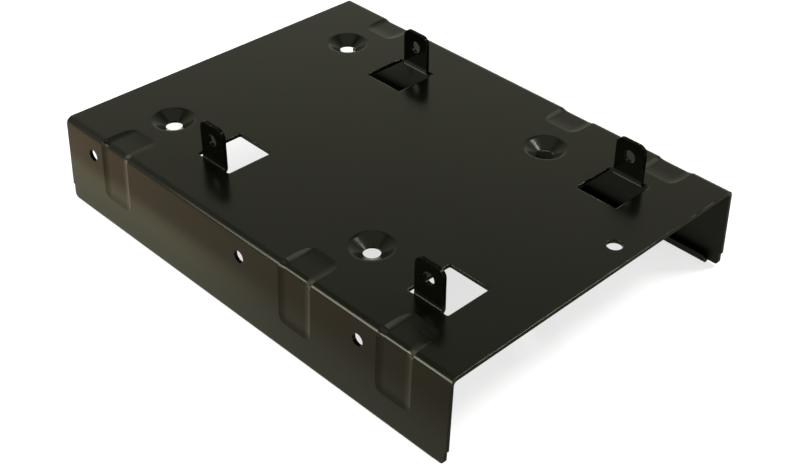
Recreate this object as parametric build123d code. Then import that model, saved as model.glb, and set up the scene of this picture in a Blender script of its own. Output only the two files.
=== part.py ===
from build123d import *
from math import cos, degrees, hypot, pi, radians, sin, tan
import os

# Drive bay adapter bracket: one steel sheet folded to a channel.
# +Z is up, the front end faces -Y, and the origin is midway between the side walls and the ends,
# level with the undersides of the hems the bracket stands on.

# Sheet and channel
sheet = 1.0                      # sheet thickness
length = 141.6                   # front edge to back edge
width = 101.6                    # over the two long bends: the width of a 3.5 inch unit
height = 25.2                    # undersides of the hems to the top of the plate
bend_inside = 1.0                # inside radius of the two long bends
splay = 2.3                      # degrees each side wall leans out from square

# Lower edge of each side wall
hem_inset = 4.0                  # from each end of the wall to the end of its hem
hem_return = 3.0                 # height of the folded-back leaf
hem_gap = 0.3                    # between the leaf and the wall
corner_rise = 0.8                # plain corners stop this far above the undersides of the hems
corner_round = 1.2               # radius of the plain corners
corner_step = 0.5                # set-back of the wall's ends at the corners
corner_step_height = 3.9         # height of that set-back

# Side screw holes, 3.5 inch pattern
side_hole = 3.4                  # diameter
side_hole_drop = 6.35            # centre below the top of the plate
side_hole_first = 28.5           # front edge to the first hole
side_hole_second = 41.6          # first hole to the second
side_hole_third = 101.6          # first hole to the third

# Stiffening darts: shallow pockets pressed in across each long bend
dart_places = (17.0, 50.0, 120.2)  # centres, from the front edge
dart_width = 11.2
dart_depth = 0.38
dart_plate_reach = 10.0          # from the outside of the bend, along the plate
dart_wall_reach = 16.8           # from the top of the plate, down the wall
dart_run = 2.2                   # width of the curved slopes beside and below the flat floor
dart_plate_run = 4.6             # length of the longer slope where it runs out on the plate
dart_steps = 3                   # straight steps that make up the curve at each end

# Tabs that carry a 2.5 inch unit by its side screw holes
unit_width = 69.85               # width of a 2.5 inch unit
unit_clearance = 0.1             # between the unit and each tab
unit_hole_spacing = 76.6         # side and bottom screw holes of a 2.5 inch unit, along its length
tab_first = 21.55                # front edge to the centre of the front tabs
tab_width = 9.0
tab_height = 11.0                # above the plate
tab_round = 2.2                  # radius of the top corners
tab_bend_inside = 0.3
tab_hole = 3.4                   # diameter
tab_hole_height = 6.65           # above the plate
window_margin = 1.9              # cut clear of the flat tab on its three free sides
window_round = 0.5               # radius of the window's corners

# Dished screw holes for a second unit under the plate
dish_spacing = 61.72             # bottom screw holes of a 2.5 inch unit, across its width
dish_first = 45.35               # front edge to the front pair
dish_hole = 4.4                  # diameter
dish_land = 0.4                  # height of the hole's straight edge, which flares out below it
dish_rim = 11.3                  # diameter where the slope meets the plate
dish_depth = 2.0                 # top of the plate to the edge of the hole
dish_bend_inside = 0.8

# Plain hole near the front edge
plain_hole = 4.1                 # diameter
plain_hole_across = 10.8         # centre to the right of the middle
plain_hole_back = 6.05           # centre behind the front edge

# Directions of the left side wall
lean = radians(splay)
wall_down = Vector(-sin(lean), 0, -cos(lean))
wall_in = Vector(cos(lean), 0, -sin(lean))
front = -length / 2
corner = Vector(-width / 2, 0, height)
bend_outside = bend_inside + sheet
bend_turn = pi / 2 - lean
bend_reach = bend_outside * tan(bend_turn / 2)
wall_top = bend_reach + sheet

# Radius of the slopes along both sides of a dart
dart_round = (dart_run**2 + dart_depth**2) / (2 * dart_depth)

# Fold of the hem, measured from the wall's outer face
fold_outside = sheet + hem_gap / 2
fold_centre_down = (height - fold_outside - fold_outside * sin(lean)) / cos(lean)
corner_down = (height - corner_rise - sheet * sin(lean)) / cos(lean)


def beside_plate(across, depth):
    # Point by the left bend: distance in along the plate, depth below its top
    return corner + Vector(across, 0, -depth)


def beside_wall(down, depth):
    # Point by the left bend: distance down the wall, depth in from its outer face
    return corner + wall_down * down + wall_in * depth


def meeting(depth):
    # Where the plate and the left wall meet, both taken at one depth below their outer faces
    return beside_plate(depth * (1 - sin(lean)) / cos(lean), depth)


def section_at(points, y):
    # Closed outline across the channel at one place along it
    return make_face(Polyline([(p.X, y, p.Z) for p in points], close=True))


def rounded(face, point, radius):
    # One corner of an outline rounded
    near = face.vertices().sort_by_distance((point.X, face.center().Y, point.Z))[0]
    return fillet(near, radius)


def flipped(point):
    return Vector(-point.X, point.Y, point.Z)


def plate_and_bends():
    # Plate with both long bends and the top of each side wall
    outer_end = beside_wall(wall_top, 0)
    inner_end = beside_wall(wall_top, sheet)
    inner = meeting(sheet)
    left = [outer_end, corner]
    right = [flipped(corner), flipped(outer_end)]
    inside = [flipped(inner_end), flipped(inner), inner, inner_end]
    face = section_at(left + right + inside, front)
    for point in (corner, flipped(corner)):
        face = rounded(face, point, bend_outside)
    for point in (inner, flipped(inner)):
        face = rounded(face, point, bend_inside)
    return extrude(face, amount=length, dir=(0, 1, 0))


def outer_envelope():
    # Everything inside the outer faces of the channel
    left = [beside_wall(height / cos(lean), 0), corner]
    right = [flipped(point) for point in reversed(left)]
    face = section_at(left + right, front)
    for point in (corner, flipped(corner)):
        face = rounded(face, point, bend_outside)
    return extrude(face, amount=length, dir=(0, 1, 0))


def left_wall():
    # Flat side wall, its lower edge open for the hem between two plain corners
    half = length / 2
    hem_half = half - hem_inset
    step_down = corner_down - corner_step_height
    ends = [
        (half, -wall_top),
        (half, -step_down),
        (half - corner_step, -step_down),
        (half - corner_step, -corner_down),
        (hem_half, -corner_down),
        (hem_half, -fold_centre_down),
    ]
    outline = ends + [(-y, z) for y, z in reversed(ends)]
    face = make_face(Polyline(outline, close=True))
    for y in (half - corner_step, corner_step - half):
        near = face.vertices().sort_by_distance((y, -corner_down, 0))[0]
        face = fillet(near, corner_round)
    return extrude(Plane(origin=corner, x_dir=(0, 1, 0), z_dir=wall_in) * face, amount=sheet)


def left_hem():
    # Lower edge folded back on the inside of the wall
    hem_length = length - 2 * hem_inset
    across = sheet + hem_gap / 2
    ring = Circle(fold_outside) - Circle(hem_gap / 2)
    lower = Pos(0, fold_outside) * Rectangle(4 * fold_outside, 2 * fold_outside)
    leaf_length = hem_return - fold_outside
    leaf = Pos(across, -leaf_length / 2) * Rectangle(sheet, leaf_length)
    face = Pos(across, fold_centre_down) * (ring & lower)
    face += Pos(across, fold_centre_down) * leaf
    start = corner - Vector(0, hem_length / 2, 0)
    return extrude(Plane(origin=start, x_dir=wall_in, z_dir=(0, 1, 0)) * face, amount=hem_length)


def dart(place, grow):
    # Solid outside a dart's outer face, or outside its inner face where grow is the sheet's thickness:
    # one section carried round the bend, and from there along the plate and the wall and out of them
    x = beside_plate(bend_reach, 0).X
    slot = SlotCenterToCenter(dart_width - 2 * dart_run, 2 * (dart_round + grow))
    section = Pos(0, dart_round - dart_depth) * slot
    section &= Pos(0, -sheet) * Rectangle(4 * dart_width, 4 * sheet)
    section = Plane(origin=(x, front + place, height), x_dir=(0, 1, 0), z_dir=(1, 0, 0)) * section

    bend = Axis((x, 0, height - bend_outside), (0, -1, 0))
    wall_section = section.rotate(bend, degrees(bend_turn))
    solid = revolve(section, bend, degrees(bend_turn))
    sides = (
        (section, Vector(1, 0, 0), Vector(0, 0, 1), dart_plate_reach, dart_plate_run),
        (wall_section, wall_down, -wall_in, dart_wall_reach, dart_run),
    )
    for start, onward, outward, reach, run in sides:
        legs = [onward * (reach - bend_reach - run)]
        for step in range(dart_steps + 2):  # the last two carry it clear of the sheet
            rise = dart_depth * (2 * step + 1) / dart_steps**2
            legs.append(onward * run / dart_steps + outward * rise)
        for leg in legs:
            solid += extrude(start, amount=leg.length, dir=leg)
            start = Pos(leg) * start
    return solid


def dish(x, y):
    # Dished hole: the disc of plate it replaces, and the sheet drawn down round the hole
    hole = dish_hole / 2
    rim = dish_rim / 2
    slope = hypot(rim - hole, dish_depth)
    down = dish_depth / slope
    along = (rim - hole) / slope
    lower_rim = rim + sheet * (1 - along) / down
    outer = lower_rim + dish_bend_inside + sheet
    points = [
        (outer, 0),
        (rim, 0),
        (hole, -dish_depth),
        (hole, -dish_depth - dish_land),
        (hole + sheet * down, -dish_depth - sheet * along),
        (lower_rim, -sheet),
        (outer, -sheet),
    ]
    face = make_face(Polyline(points, close=True))
    for (r, z), radius in (((rim, 0), dish_bend_inside + sheet), ((lower_rim, -sheet), dish_bend_inside)):
        face = fillet(face.vertices().sort_by_distance((r, z, 0))[0], radius)
    formed = revolve(Plane.XZ * face, Axis.Z)
    disc = Pos(0, 0, -sheet / 2) * Cylinder(outer, sheet)
    return Pos(x, y, height) * disc, Pos(x, y, height) * formed


def tab(y):
    # Tab lanced up on the left, and the window it is cut from
    face_out = -(unit_width / 2 + unit_clearance + sheet)
    bend_start = face_out - tab_bend_inside
    bend_far = tab_bend_inside + sheet
    flat_length = (tab_bend_inside + 0.44 * sheet) * pi / 2 + tab_height - tab_bend_inside
    window_length = flat_length + window_margin
    window_width = tab_width + 2 * window_margin
    window = Box(window_length, window_width, 4 * sheet)
    window = fillet(window.edges().filter_by(Axis.Z), window_round)
    window = Pos(bend_start + window_length / 2, y, height) * window

    ring = Circle(bend_far) - Circle(tab_bend_inside)
    quarter = Pos(bend_far / 2, -bend_far / 2) * Rectangle(bend_far, bend_far)
    rise = tab_height - tab_bend_inside
    upright = Pos(tab_bend_inside + sheet / 2, rise / 2) * Rectangle(sheet, rise)
    root = Pos(-sheet / 2, -tab_bend_inside - sheet / 2) * Rectangle(sheet, sheet)
    face = (ring & quarter) + upright + root
    start = (bend_start, y + tab_width / 2, height + tab_bend_inside)
    raised = extrude(Plane(origin=start, x_dir=(1, 0, 0), z_dir=(0, -1, 0)) * face, amount=tab_width)
    top = raised.edges().filter_by(Axis.X).group_by(Axis.Z)[-1]
    raised = fillet(top, tab_round)
    screw = Pos(face_out + sheet / 2, y, height + tab_hole_height) * Rot(0, 90, 0)
    raised -= screw * Cylinder(tab_hole / 2, 4 * sheet)
    return window, raised


def side_holes():
    # Screw holes along the left wall
    z = height - side_hole_drop
    x = beside_wall(side_hole_drop, sheet / 2).X
    places = [side_hole_first + step for step in (0, side_hole_second, side_hole_third)]
    return [Pos(x, front + y, z) * Rot(0, 90, 0) * Cylinder(side_hole / 2, 6 * sheet) for y in places]


def both(shape):
    return [shape, mirror(shape, about=Plane.YZ)]


def make_bracket():
    body = plate_and_bends()
    for shape in both(left_wall()) + both(left_hem()):
        body += shape

    envelope = outer_envelope()
    for place in dart_places:
        for shape in both(dart(place, sheet)):
            body += shape & envelope
    for place in dart_places:
        for shape in both(dart(place, 0.0)):
            body -= shape

    for y in (front + dish_first, front + dish_first + unit_hole_spacing):
        for x in (-dish_spacing / 2, dish_spacing / 2):
            disc, formed = dish(x, y)
            body = body - disc + formed

    for y in (front + tab_first, front + tab_first + unit_hole_spacing):
        window, raised = tab(y)
        for cut, shape in zip(both(window), both(raised)):
            body = body - cut + shape

    for hole in side_holes():
        for shape in both(hole):
            body -= shape
    body -= Pos(plain_hole_across, front + plain_hole_back, height) * Cylinder(plain_hole / 2, 6 * sheet)
    return body


os.makedirs("parts", exist_ok=True)
bracket = make_bracket()
export_step(bracket, "parts/bracket.step")
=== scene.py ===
import bpy
import math
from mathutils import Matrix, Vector
from types import SimpleNamespace

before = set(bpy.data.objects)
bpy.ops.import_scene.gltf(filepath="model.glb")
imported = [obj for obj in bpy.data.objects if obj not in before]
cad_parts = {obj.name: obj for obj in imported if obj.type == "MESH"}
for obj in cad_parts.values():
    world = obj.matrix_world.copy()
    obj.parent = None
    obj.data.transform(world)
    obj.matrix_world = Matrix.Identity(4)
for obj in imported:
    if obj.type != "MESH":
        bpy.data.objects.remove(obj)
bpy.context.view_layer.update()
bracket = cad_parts["bracket"]
scene = bpy.context.scene
mm = 0.001
plateTop = 25.2                                      # millimetres above the floor
print("frame loaded:", len(bracket.data.polygons), "faces")


# node helpers

nodeSpacing = (220, 200)                             # between the columns and rows of a node tree


def addNode(tree, kind, **settings):
    node = tree.nodes.new(kind)
    for name, value in settings.items():
        setattr(node, name, value)
    return node


def feed(socket, source):
    # source is another node's output, or a plain value
    if isinstance(source, bpy.types.NodeSocket):
        socket.id_data.links.new(source, socket)
    else:
        socket.default_value = source


def setInputs(node, **sources):
    for name, source in sources.items():
        feed(node.inputs[name.replace("_", " ")], source)


def addMath(tree, operation, first, *others):
    # several others are taken in one after another
    for other in others or (0.0,):
        node = addNode(tree, "ShaderNodeMath", operation=operation)
        feed(node.inputs[0], first)
        feed(node.inputs[1], other)
        first = node.outputs[0]
    return first


def addRange(tree, source, span, result=(0.0, 1.0), smooth=True):
    node = addNode(tree, "ShaderNodeMapRange")
    node.interpolation_type = "SMOOTHSTEP" if smooth else "LINEAR"
    setInputs(node, Value=source, From_Min=span[0], From_Max=span[1])
    setInputs(node, To_Min=result[0], To_Max=result[1])
    return node.outputs["Result"]


def addMix(tree, factor, first, second):
    node = addNode(tree, "ShaderNodeMix", data_type="RGBA")
    for number, source in ((0, factor), (6, first), (7, second)):    # 6 and 7 are its two colours
        feed(node.inputs[number], source)
    return node.outputs[2]


def addNoise(tree, place, size, detail, roughness):
    # size is the width of one blotch, in the unit of place
    node = addNode(tree, "ShaderNodeTexNoise")
    scale = addMath(tree, "DIVIDE", 1.0, size)
    setInputs(node, Vector=place, Scale=scale, Detail=detail, Roughness=roughness)
    return node.outputs["Fac"]


def addSplit(tree, vector):
    node = addNode(tree, "ShaderNodeSeparateXYZ")
    feed(node.inputs[0], vector)
    return node.outputs["X"], node.outputs["Y"], node.outputs["Z"]


def inMillimetres(tree):
    coords = addNode(tree, "ShaderNodeTexCoord")
    scale = addNode(tree, "ShaderNodeVectorMath", operation="SCALE")
    feed(scale.inputs[0], coords.outputs["Object"])
    setInputs(scale, Scale=1.0 / mm)
    return scale.outputs["Vector"]


def newGroup(name, inputs, outputs):
    group = bpy.data.node_groups.new(name, "ShaderNodeTree")
    for socketName in inputs:
        group.interface.new_socket(socketName, in_out="INPUT", socket_type="NodeSocketFloat")
    for socketName in outputs:
        kind = "NodeSocketVector" if socketName == "Normal" else "NodeSocketFloat"
        group.interface.new_socket(socketName, in_out="OUTPUT", socket_type=kind)
    return group, addNode(group, "NodeGroupInput"), addNode(group, "NodeGroupOutput")


def placeGroup(tree, group, **values):
    node = addNode(tree, "ShaderNodeGroup", node_tree=group)
    setInputs(node, **values)
    return node


def newMaterial(name):
    material = bpy.data.materials.new(name)
    material.use_nodes = True
    material.node_tree.nodes.clear()
    return material, material.node_tree


def layOut(tree):
    # each node stands a column to the left of all that it feeds
    columns = dict.fromkeys(tree.nodes.keys(), 0)
    for _ in tree.nodes:
        for link in tree.links:
            name = link.from_node.name
            columns[name] = max(columns[name], columns[link.to_node.name] + 1)
    filled = {}
    for name, column in columns.items():
        row = filled.get(column, 0)
        tree.nodes[name].location = (-nodeSpacing[0] * column, -nodeSpacing[1] * row)
        filled[column] = row + 1


# shared effects

def makePaintGrain():
    # peel of the sprayed coat, slow clouding, and fine specks
    sizes = ["Peel Size", "Cloud Size", "Speck Size"]
    group, start, end = newGroup("paintGrain", sizes, ["Height", "Cloud", "Speck"])
    speckPeaks = (0.66, 0.78)                        # only the tops of the finest noise
    place = inMillimetres(group)
    peel = addNoise(group, place, start.outputs["Peel Size"], detail=3.0, roughness=0.6)
    cloud = addNoise(group, place, start.outputs["Cloud Size"], detail=4.0, roughness=0.55)
    fine = addNoise(group, place, start.outputs["Speck Size"], detail=1.0, roughness=0.5)
    setInputs(end, Height=peel, Cloud=cloud, Speck=addRange(group, fine, speckPeaks))
    layOut(group)
    return group


def makeEdgeWear():
    # edges of the sheet rounded off, and where the coat is rubbed thin on them
    group, start, end = newGroup("edgeWear", ["Radius", "Patch Size"], ["Worn", "Normal"])
    edgeTurn = (0.99, 0.86)                          # cosine of the turn, from flat to full edge
    patchPeaks = (0.48, 0.66)                        # the edges are rubbed in patches
    rounded = addNode(group, "ShaderNodeBevel", samples=8)
    setInputs(rounded, Radius=start.outputs["Radius"])
    geometry = addNode(group, "ShaderNodeNewGeometry")
    turn = addNode(group, "ShaderNodeVectorMath", operation="DOT_PRODUCT")
    feed(turn.inputs[0], rounded.outputs["Normal"])
    feed(turn.inputs[1], geometry.outputs["Normal"])
    edge = addRange(group, turn.outputs["Value"], edgeTurn)
    patchSize = start.outputs["Patch Size"]
    patch = addNoise(group, inMillimetres(group), patchSize, detail=5.0, roughness=0.65)
    worn = addMath(group, "MULTIPLY", edge, addRange(group, patch, patchPeaks))
    setInputs(end, Worn=worn, Normal=rounded.outputs["Normal"])
    layOut(group)
    return group


# painted sheet

sheetPaint = {
    "black": (0.0006, 0.0006, 0.0005, 1.0),
    "blackCloud": (0.0014, 0.0014, 0.0012, 1.0),
    "wallSheenGrey": (0.014, 0.014, 0.0105, 1.0),         # painted reflection, low on the walls, towards the back
    "hemUndersideGrey": (0.035, 0.033, 0.026, 1.0),         # painted reflection: grey on the undersides of the hems, where the bracket stands; their gloss is taken off too
    "dartGlint": (0.032, 0.032, 0.029, 1.0),             # painted highlight on the front darts
    "wornEdge": (0.06, 0.057, 0.047, 1.0),
    "noTint": (1.0, 1.0, 1.0, 1.0),
    "plateTint": (0.96, 0.98, 0.75, 1.0),            # olive cast of the thin lacquer
    "lowTint": (0.95, 0.93, 0.68, 1.0),              # the same low on the walls
    "backTint": (0.97, 0.75, 0.38, 1.0),             # brown film high on the walls, at the back
    "frontTint": (0.64, 0.53, 0.29, 1.0),            # and darker at the front, as painted shade
    "hemSheen": 0.65,                                 # share of the painted reflection that is left by the hem
    "glintBase": 0.6,                                # strength of the painted highlight between its specks

    "gloss": 0.135,
    "bendGloss": (0.05, 0.19),                       # added above and below the bends' highlight
    "rimGloss": 0.45,                                # added on the front rims of the darts there
    "rimMatt": 0.8,                                  # lost on the back rims of the rear darts
    "shearedMatt": 0.8,                              # lost on the sheared ends
    "tabMatt": 0.85,                                 # and on the tabs, where the coat is thin
    "roughness": (0.16, 0.25),                       # over the low and high clouds
    "roughClouds": (0.25, 0.75),
    "wornRough": 0.12,                               # more on worn edges
    "insideRough": 0.3,                              # and on the thinly coated insides of the walls

    "peelSize": 0.9,                                 # widths of the blotches, in millimetres
    "cloudSize": 24.0,
    "speckSize": 0.32,
    "patchSize": 6.0,
    "peelDepth": 0.012 * mm,
    "peelStrength": 0.5,
    "edgeRound": 0.1 * mm,
    "rolledRound": 0.45 * mm,                        # edges of the plate, rolled over by the shears

    # where each mark begins and where it is full, in millimetres of the part's frame
    "filmZ": (3.0, plateTop - 4.4),
    "filmShadeY": (70.0, -70.0),
    # the painted reflection on the walls
    "sheenZ": (17.0, 11.0),
    "sheenY": (-25.0, 35.0),
    "hemZ": (9.0, 4.0),
    "hemUndersideZ": (1.3, 0.8),
    "tabZ": (plateTop + 0.5, plateTop + 1.5),
    "bendX": (48.7, 49.6),
    "bendZ": (plateTop - 2.0, plateTop - 1.1),
    "rearDartY": (25.0, 40.0),
    "frontDartY": (25.0, 5.0),
    "dartX": (39.2, 40.0),                           # inner ends of the darts
    "dartBendX": (48.7, 48.2),                       # and where they meet the bend
    "rolledLowZ": (plateTop - 0.8, plateTop - 0.4),
    "rolledHighZ": (plateTop + 0.5, plateTop + 0.1),

    # the same by the way the surface faces: a part of its normal, or that times x for the walls
    "wallOutside": (40.0, 47.0),
    "wallInside": (-40.0, -47.0),
    "shearedEnd": (0.9, 0.97),
    "levelTop": (0.85, 0.92),
    "bendTurn": (0.9, 0.2),
    "highlight": 0.66,                               # upward part of it where the bends shine most
    "highlightEdge": (0.1, 0.24),                    # and how far from that the polish begins
    "frontRim": (0.04, 0.16),
    "backRim": (-0.06, -0.2),
    "glintSlope": (-0.06, -0.24),
}


def readSurface(tree):
    # place in the part's frame and the way the surface faces, for the masks
    x, y, z = addSplit(tree, inMillimetres(tree))
    geometry = addNode(tree, "ShaderNodeNewGeometry")
    normalX, normalY, normalZ = addSplit(tree, geometry.outputs["Normal"])
    outward = addMath(tree, "MULTIPLY", normalX, x)
    return SimpleNamespace(
        y=y, z=z, normalY=normalY, normalZ=normalZ, outward=outward,
        aside=addMath(tree, "ABSOLUTE", x),
        onWall=addRange(tree, outward, sheetPaint["wallOutside"]),
        hemUnderside=addRange(tree, z, sheetPaint["hemUndersideZ"]),
    )


def makeTint(tree, spot):
    # thin film, brown on the outsides of the walls and most under the bends, with painted shade
    # darkening it towards the front
    paint = sheetPaint
    # painted shade: the film on the walls is darker towards the front
    forward = addRange(tree, spot.y, paint["filmShadeY"], smooth=False)
    shadedFilm = addMix(tree, forward, paint["backTint"], paint["frontTint"])
    high = addRange(tree, spot.z, paint["filmZ"])
    wallTint = addMix(tree, high, paint["lowTint"], shadedFilm)
    tint = addMix(tree, spot.onWall, paint["plateTint"], wallTint)
    angle = addNode(tree, "ShaderNodeLayerWeight")
    straight = addMath(tree, "SUBTRACT", 1.0, angle.outputs["Facing"])
    return addMix(tree, straight, paint["noTint"], tint)     # as deep at a slant as straight on


def makeColour(tree, spot, grain, wear):
    paint = sheetPaint
    clouded = addMix(tree, grain.outputs["Cloud"], paint["black"], paint["blackCloud"])

    # painted reflection on the outsides of the walls, and painted grey in place of it on the
    # undersides of the hems
    middle = addRange(tree, spot.z, paint["sheenZ"])
    hem = addRange(tree, spot.z, paint["hemZ"], (1.0, paint["hemSheen"]))
    backward = addRange(tree, spot.y, paint["sheenY"])
    # painted reflection: lighter at mid-height on the outsides of the walls, towards the back
    sheenMask = addMath(tree, "MULTIPLY", middle, hem, backward, spot.onWall)
    withSheen = addMix(tree, sheenMask, clouded, paint["wallSheenGrey"])
    # painted reflection: grey on the undersides of the hems, in place of the wall's sheen
    hemmed = addMix(tree, spot.hemUnderside, withSheen, paint["hemUndersideGrey"])

    # painted highlight on the front darts of the plate, on the slopes that look to the front
    slope = addRange(tree, spot.normalY, paint["glintSlope"])
    specks = addRange(tree, grain.outputs["Speck"], (0.0, 1.0), (paint["glintBase"], 1.0))
    onDart = addRange(tree, spot.aside, paint["dartX"])
    offBend = addRange(tree, spot.aside, paint["dartBendX"])
    level = addRange(tree, spot.normalZ, paint["levelTop"])
    ahead = addRange(tree, spot.y, paint["frontDartY"])
    # painted highlight, in specks, on the dart slopes that look to the front
    glintMask = addMath(tree, "MULTIPLY", slope, specks, onDart, offBend, level, ahead)
    glinted = addMix(tree, glintMask, hemmed, paint["dartGlint"])
    return addMix(tree, wear.outputs["Worn"], glinted, paint["wornEdge"])


def makeGloss(tree, spot):
    # long bends polished by the press, apart from where they turn to the light
    paint = sheetPaint
    outside = addRange(tree, spot.aside, paint["bendX"])
    upper = addRange(tree, spot.z, paint["bendZ"])
    onBend = addMath(tree, "MULTIPLY", outside, upper)
    offset = addMath(tree, "SUBTRACT", spot.normalZ, paint["highlight"])
    turned = addRange(tree, addMath(tree, "ABSOLUTE", offset), paint["highlightEdge"])
    extra = addRange(tree, spot.normalZ, paint["bendTurn"], paint["bendGloss"])
    polish = addMath(tree, "MULTIPLY", onBend, turned, extra)
    frontRim = addRange(tree, spot.normalY, paint["frontRim"], (0.0, paint["rimGloss"]))
    rimPolish = addMath(tree, "MULTIPLY", frontRim, onBend)
    gloss = addMath(tree, "ADD", polish, paint["gloss"], rimPolish)

    # hems, tabs, sheared ends and the back rims of the rear darts are duller
    tabs = addRange(tree, spot.z, paint["tabZ"], (0.0, paint["tabMatt"]))
    endOn = addMath(tree, "ABSOLUTE", spot.normalY)
    sheared = addRange(tree, endOn, paint["shearedEnd"], (0.0, paint["shearedMatt"]))
    backRim = addRange(tree, spot.normalY, paint["backRim"], (0.0, paint["rimMatt"]))
    behind = addRange(tree, spot.y, paint["rearDartY"])
    lit = addMath(tree, "SUBTRACT", 1.0, turned)
    rim = addMath(tree, "MULTIPLY", backRim, behind, onBend, lit)
    dull = addMath(tree, "MAXIMUM", spot.hemUnderside, tabs, sheared, rim)
    shine = addMath(tree, "SUBTRACT", 1.0, dull)
    return addMath(tree, "MULTIPLY", shine, gloss)


def makeRoughness(tree, spot, grain, wear):
    paint = sheetPaint
    sheen = addRange(tree, grain.outputs["Cloud"], paint["roughClouds"], paint["roughness"])
    worn = addMath(tree, "MULTIPLY", wear.outputs["Worn"], paint["wornRough"])
    inside = addRange(tree, spot.outward, paint["wallInside"], (0.0, paint["insideRough"]))
    return addMath(tree, "ADD", sheen, worn, inside)


def makeRadius(tree, spot):
    # edges round off more at the top of the plate
    paint = sheetPaint
    above = addRange(tree, spot.z, paint["rolledLowZ"])
    below = addRange(tree, spot.z, paint["rolledHighZ"])
    rolled = addMath(tree, "MULTIPLY", above, below)
    return addRange(tree, rolled, (0.0, 1.0), (paint["edgeRound"], paint["rolledRound"]))


def makeSheetPaint():
    paint = sheetPaint
    material, tree = newMaterial("satinBlackPaint")
    spot = readSurface(tree)
    grain = placeGroup(
        tree, makePaintGrain(),
        Peel_Size=paint["peelSize"], Cloud_Size=paint["cloudSize"], Speck_Size=paint["speckSize"],
    )
    wear = placeGroup(
        tree, makeEdgeWear(),
        Radius=makeRadius(tree, spot), Patch_Size=paint["patchSize"],
    )
    bump = addNode(tree, "ShaderNodeBump")
    setInputs(
        bump,
        Strength=paint["peelStrength"],
        Distance=paint["peelDepth"],
        Height=grain.outputs["Height"],
        Normal=wear.outputs["Normal"],
    )
    shader = addNode(tree, "ShaderNodeBsdfPrincipled")
    setInputs(
        shader,
        Base_Color=makeColour(tree, spot, grain, wear),
        Roughness=makeRoughness(tree, spot, grain, wear),
        Specular_IOR_Level=makeGloss(tree, spot),
        Coat_Weight=1.0,
        Coat_IOR=1.0,                                # the film tints and has no shine of its own
        Coat_Tint=makeTint(tree, spot),
        Normal=bump.outputs["Normal"],
    )
    output = addNode(tree, "ShaderNodeOutputMaterial")
    setInputs(output, Surface=shader.outputs["BSDF"])
    layOut(tree)
    return material


bracket.data.materials.clear()
bracket.data.materials.append(makeSheetPaint())
print("bracket painted")


# floor and studio light

studio = {
    "floorSize": 6.0,
    "floorColour": (0.94, 0.94, 0.93, 1.0),
    "floorWhite": 0.72,                              # share of plain white seen in the floor
    "skyColour": (1.0, 0.99, 0.95, 1.0),
    "skyLow": 0.95,                                  # brightness all round, overhead and behind
    "skyHigh": 0.4,
    "skyBack": 0.12,
    "highFade": (0.6, 0.86),                         # height in the sky, from all round to overhead
    "backFade": (0.36, 0.1),                         # and down to the dark part low behind
    "backSpread": (0.7, 0.95),                       # from beside that part to the middle of it
    "aim": (0.0, 0.0, 0.012),                        # what the lights point at
    "lightDistance": 0.8,
    "softboxAngle": 23.0,                            # degrees from -X towards +Y
    "softboxRise": 29.0,
    "softboxSize": (0.52, 0.26),
    "softboxPower": 8.9,
    "rightAngle": -34.0,                             # degrees from +X towards +Y
    "rightRise": 48.0,
    "rightSize": (0.2, 0.12),
    "rightPower": 7.4,
    "topSize": (1.0, 1.0),
    "topHeight": 1.1,
    "topPower": 3.2,
}


def makeFloor():
    half = studio["floorSize"] / 2
    corners = [(-half, -half, 0), (half, -half, 0), (half, half, 0), (-half, half, 0)]
    mesh = bpy.data.meshes.new("floor")
    mesh.from_pydata(corners, [], [(0, 1, 2, 3)])
    floor = bpy.data.objects.new("floor", mesh)
    scene.collection.objects.link(floor)
    material, tree = newMaterial("paleFloor")
    rays = addNode(tree, "ShaderNodeLightPath").outputs
    seen = addMath(
        tree, "MAXIMUM",
        rays["Is Camera Ray"], rays["Is Glossy Ray"], rays["Is Transmission Ray"],
    )
    share = addMath(tree, "MULTIPLY", seen, studio["floorWhite"])
    matte = addNode(tree, "ShaderNodeBsdfDiffuse")
    setInputs(matte, Color=studio["floorColour"])
    white = addNode(tree, "ShaderNodeEmission")
    mix = addNode(tree, "ShaderNodeMixShader")
    for socket, source in zip(mix.inputs, (share, matte.outputs[0], white.outputs[0])):
        feed(socket, source)
    output = addNode(tree, "ShaderNodeOutputMaterial")
    setInputs(output, Surface=mix.outputs[0])
    layOut(tree)
    mesh.materials.append(material)


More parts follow.
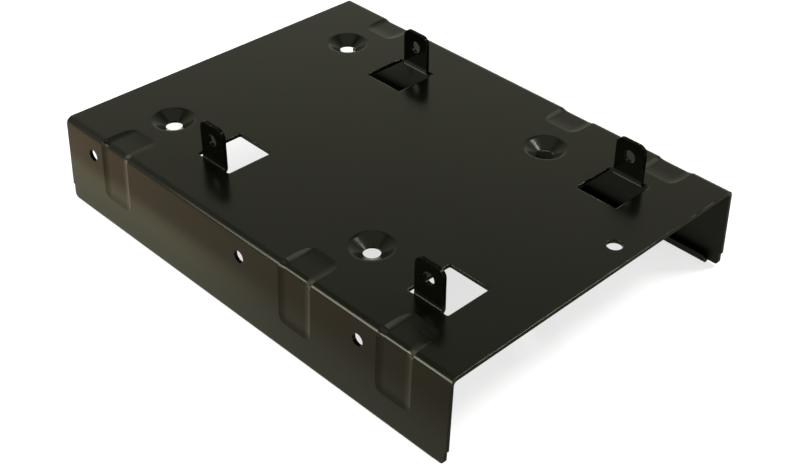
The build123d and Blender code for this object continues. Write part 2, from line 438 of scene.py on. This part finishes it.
def makeSky():
    world = bpy.data.worlds.new("studioSky")
    world.use_nodes = True
    scene.world = world
    tree = world.node_tree
    tree.nodes.clear()
    coords = addNode(tree, "ShaderNodeTexCoord")
    _, back, height = addSplit(tree, coords.outputs["Generated"])
    light = addRange(tree, height, studio["highFade"], (studio["skyLow"], studio["skyHigh"]))
    low = addRange(tree, height, studio["backFade"])
    behind = addRange(tree, back, studio["backSpread"])
    loss = studio["skyLow"] - studio["skyBack"]
    shade = addMath(tree, "MULTIPLY", low, behind, loss)
    background = addNode(tree, "ShaderNodeBackground")
    setInputs(
        background,
        Color=studio["skyColour"],
        Strength=addMath(tree, "SUBTRACT", light, shade),
    )
    output = addNode(tree, "ShaderNodeOutputWorld")
    setInputs(output, Surface=background.outputs[0])
    layOut(tree)


def addSoftbox(name, place, size, power):
    light = bpy.data.lights.new(name, "AREA")
    light.shape = "RECTANGLE"
    light.size, light.size_y = size
    light.energy = power
    lamp = bpy.data.objects.new(name, light)
    lamp.location = place
    ray = Vector(studio["aim"]) - Vector(place)
    lamp.rotation_euler = ray.to_track_quat("-Z", "Y").to_euler()
    scene.collection.objects.link(lamp)


def makeLights():
    for name, side in (("softbox", -1), ("right", 1)):
        turn = math.radians(studio[name + "Angle"])
        rise = math.radians(studio[name + "Rise"])
        level = math.cos(rise)
        away = Vector((side * math.cos(turn) * level, math.sin(turn) * level, math.sin(rise)))
        place = away * studio["lightDistance"]
        addSoftbox(name + "Light", place, studio[name + "Size"], studio[name + "Power"])
    addSoftbox("topLight", (0.0, 0.0, studio["topHeight"]), studio["topSize"], studio["topPower"])


makeFloor()
makeSky()
makeLights()
print("studio set")


# camera at the photograph's place

view = {
    "place": (-204.13, -213.18, 218.31),             # millimetres in the part's frame
    "turn": (54.207, -2.216, -46.568),               # degrees about X, Y and Z
    "lens": 61.459,                                  # millimetres, as is the sensor
    "sensor": 36.0,
    "shift": (-0.0968, -0.0204),
    "clip": (0.01, 20.0),                            # metres
}


def makeCamera():
    data = bpy.data.cameras.new("photoCamera")
    data.sensor_width = view["sensor"]
    data.lens = view["lens"]
    data.shift_x, data.shift_y = view["shift"]
    data.clip_start, data.clip_end = view["clip"]
    camera = bpy.data.objects.new("photoCamera", data)
    camera.location = [value * mm for value in view["place"]]
    camera.rotation_euler = [math.radians(value) for value in view["turn"]]
    scene.collection.objects.link(camera)
    scene.camera = camera


makeCamera()
scene.view_settings.view_transform = "Standard"
print("camera set")
